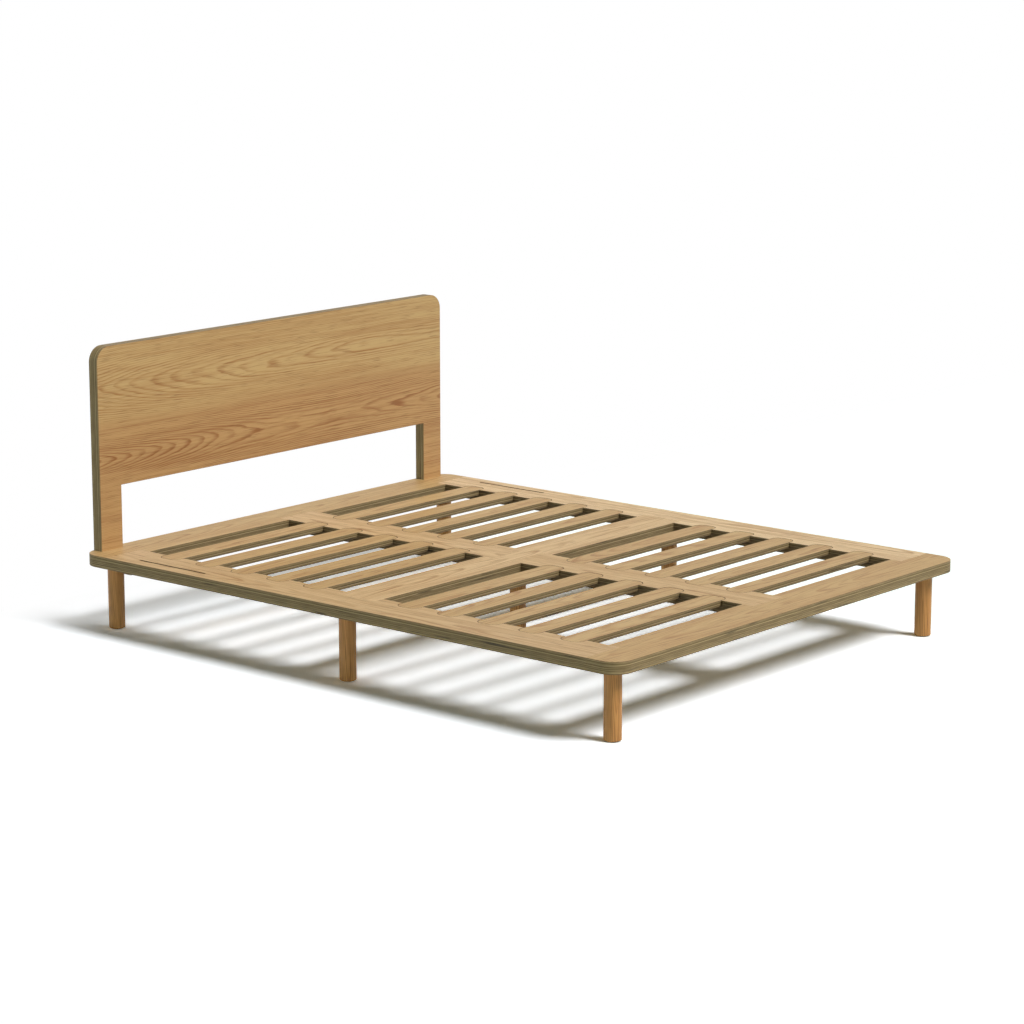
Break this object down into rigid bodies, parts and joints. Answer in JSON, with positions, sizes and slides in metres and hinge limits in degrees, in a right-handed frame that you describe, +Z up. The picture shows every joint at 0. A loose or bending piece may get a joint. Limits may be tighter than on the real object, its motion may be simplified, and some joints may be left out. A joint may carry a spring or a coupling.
{
  "type": "platform bed with slatted deck and headboard",
  "caption": "Low plywood platform bed with a panel headboard, drop-in slats in a lap-jointed deck of rounded outline, round solid legs and side slots for accessories.",
  "frame": {"origin": "centre of the bed's footprint, on the floor", "axes": "+X across the bed to the right seen from the foot, +Y from the foot to the head, +Z up"},
  "size_m": [1.65, 2.07, 0.861],
  "materials": {
    "oak_plywood": "matt clear lacquer on oak veneer, bare ply edges oiled",
    "solid_oak": "turned solid oak, matt clear lacquer",
    "zinc_steel": "bright zinc plate",
    "insert_brass": "turned brass",
    "felt": "pressed wool felt"
  },
  "bodies": {
    "bed_frame": {"foot_rail": "oak_plywood", "head_rail": "oak_plywood", "left_side_rail": "oak_plywood", "right_side_rail": "oak_plywood", "mid_rail": "oak_plywood", "centre_rail_foot": "oak_plywood", "centre_rail_head": "oak_plywood", "headboard": "oak_plywood", "head_stretcher": "oak_plywood", "leg_foot_left": "solid_oak", "leg_foot_right": "solid_oak", "leg_head_left": "solid_oak", "leg_head_right": "solid_oak", "leg_mid_left": "solid_oak", "leg_mid_right": "solid_oak", "leg_mid_centre": "solid_oak", "leg_studs": "zinc_steel", "leg_inserts": "insert_brass", "lap_bolts": "zinc_steel", "lap_inserts": "insert_brass", "headboard_bolts": "zinc_steel", "headboard_inserts": "insert_brass", "stretcher_screws": "zinc_steel", "leg_glides": "felt"},
    "slat_foot_left_1": {"slat_foot_left_1": "oak_plywood"},
    "slat_foot_left_2": {"slat_foot_left_2": "oak_plywood"},
    "slat_foot_left_3": {"slat_foot_left_3": "oak_plywood"},
    "slat_foot_left_4": {"slat_foot_left_4": "oak_plywood"},
    "slat_foot_left_5": {"slat_foot_left_5": "oak_plywood"},
    "slat_foot_right_1": {"slat_foot_right_1": "oak_plywood"},
    "slat_foot_right_2": {"slat_foot_right_2": "oak_plywood"},
    "slat_foot_right_3": {"slat_foot_right_3": "oak_plywood"},
    "slat_foot_right_4": {"slat_foot_right_4": "oak_plywood"},
    "slat_foot_right_5": {"slat_foot_right_5": "oak_plywood"},
    "slat_head_left_1": {"slat_head_left_1": "oak_plywood"},
    "slat_head_left_2": {"slat_head_left_2": "oak_plywood"},
    "slat_head_left_3": {"slat_head_left_3": "oak_plywood"},
    "slat_head_left_4": {"slat_head_left_4": "oak_plywood"},
    "slat_head_left_5": {"slat_head_left_5": "oak_plywood"},
    "slat_head_right_1": {"slat_head_right_1": "oak_plywood"},
    "slat_head_right_2": {"slat_head_right_2": "oak_plywood"},
    "slat_head_right_3": {"slat_head_right_3": "oak_plywood"},
    "slat_head_right_4": {"slat_head_right_4": "oak_plywood"},
    "slat_head_right_5": {"slat_head_right_5": "oak_plywood"}
  },
  "joints": [
    {"name": "slat_foot_left_1_lift", "type": "slide", "parent": "bed_frame", "child": "slat_foot_left_1", "axis": [0, 0, 1], "range_m": [0, 0.06]},
    {"name": "slat_foot_left_2_lift", "type": "slide", "parent": "bed_frame", "child": "slat_foot_left_2", "axis": [0, 0, 1], "range_m": [0, 0.06]},
    {"name": "slat_foot_left_3_lift", "type": "slide", "parent": "bed_frame", "child": "slat_foot_left_3", "axis": [0, 0, 1], "range_m": [0, 0.06]},
    {"name": "slat_foot_left_4_lift", "type": "slide", "parent": "bed_frame", "child": "slat_foot_left_4", "axis": [0, 0, 1], "range_m": [0, 0.06]},
    {"name": "slat_foot_left_5_lift", "type": "slide", "parent": "bed_frame", "child": "slat_foot_left_5", "axis": [0, 0, 1], "range_m": [0, 0.06]},
    {"name": "slat_foot_right_1_lift", "type": "slide", "parent": "bed_frame", "child": "slat_foot_right_1", "axis": [0, 0, 1], "range_m": [0, 0.06]},
    {"name": "slat_foot_right_2_lift", "type": "slide", "parent": "bed_frame", "child": "slat_foot_right_2", "axis": [0, 0, 1], "range_m": [0, 0.06]},
    {"name": "slat_foot_right_3_lift", "type": "slide", "parent": "bed_frame", "child": "slat_foot_right_3", "axis": [0, 0, 1], "range_m": [0, 0.06]},
    {"name": "slat_foot_right_4_lift", "type": "slide", "parent": "bed_frame", "child": "slat_foot_right_4", "axis": [0, 0, 1], "range_m": [0, 0.06]},
    {"name": "slat_foot_right_5_lift", "type": "slide", "parent": "bed_frame", "child": "slat_foot_right_5", "axis": [0, 0, 1], "range_m": [0, 0.06]},
    {"name": "slat_head_left_1_lift", "type": "slide", "parent": "bed_frame", "child": "slat_head_left_1", "axis": [0, 0, 1], "range_m": [0, 0.06]},
    {"name": "slat_head_left_2_lift", "type": "slide", "parent": "bed_frame", "child": "slat_head_left_2", "axis": [0, 0, 1], "range_m": [0, 0.06]},
    {"name": "slat_head_left_3_lift", "type": "slide", "parent": "bed_frame", "child": "slat_head_left_3", "axis": [0, 0, 1], "range_m": [0, 0.06]},
    {"name": "slat_head_left_4_lift", "type": "slide", "parent": "bed_frame", "child": "slat_head_left_4", "axis": [0, 0, 1], "range_m": [0, 0.06]},
    {"name": "slat_head_left_5_lift", "type": "slide", "parent": "bed_frame", "child": "slat_head_left_5", "axis": [0, 0, 1], "range_m": [0, 0.06]},
    {"name": "slat_head_right_1_lift", "type": "slide", "parent": "bed_frame", "child": "slat_head_right_1", "axis": [0, 0, 1], "range_m": [0, 0.06]},
    {"name": "slat_head_right_2_lift", "type": "slide", "parent": "bed_frame", "child": "slat_head_right_2", "axis": [0, 0, 1], "range_m": [0, 0.06]},
    {"name": "slat_head_right_3_lift", "type": "slide", "parent": "bed_frame", "child": "slat_head_right_3", "axis": [0, 0, 1], "range_m": [0, 0.06]},
    {"name": "slat_head_right_4_lift", "type": "slide", "parent": "bed_frame", "child": "slat_head_right_4", "axis": [0, 0, 1], "range_m": [0, 0.06]},
    {"name": "slat_head_right_5_lift", "type": "slide", "parent": "bed_frame", "child": "slat_head_right_5", "axis": [0, 0, 1], "range_m": [0, 0.06]}
  ]
}
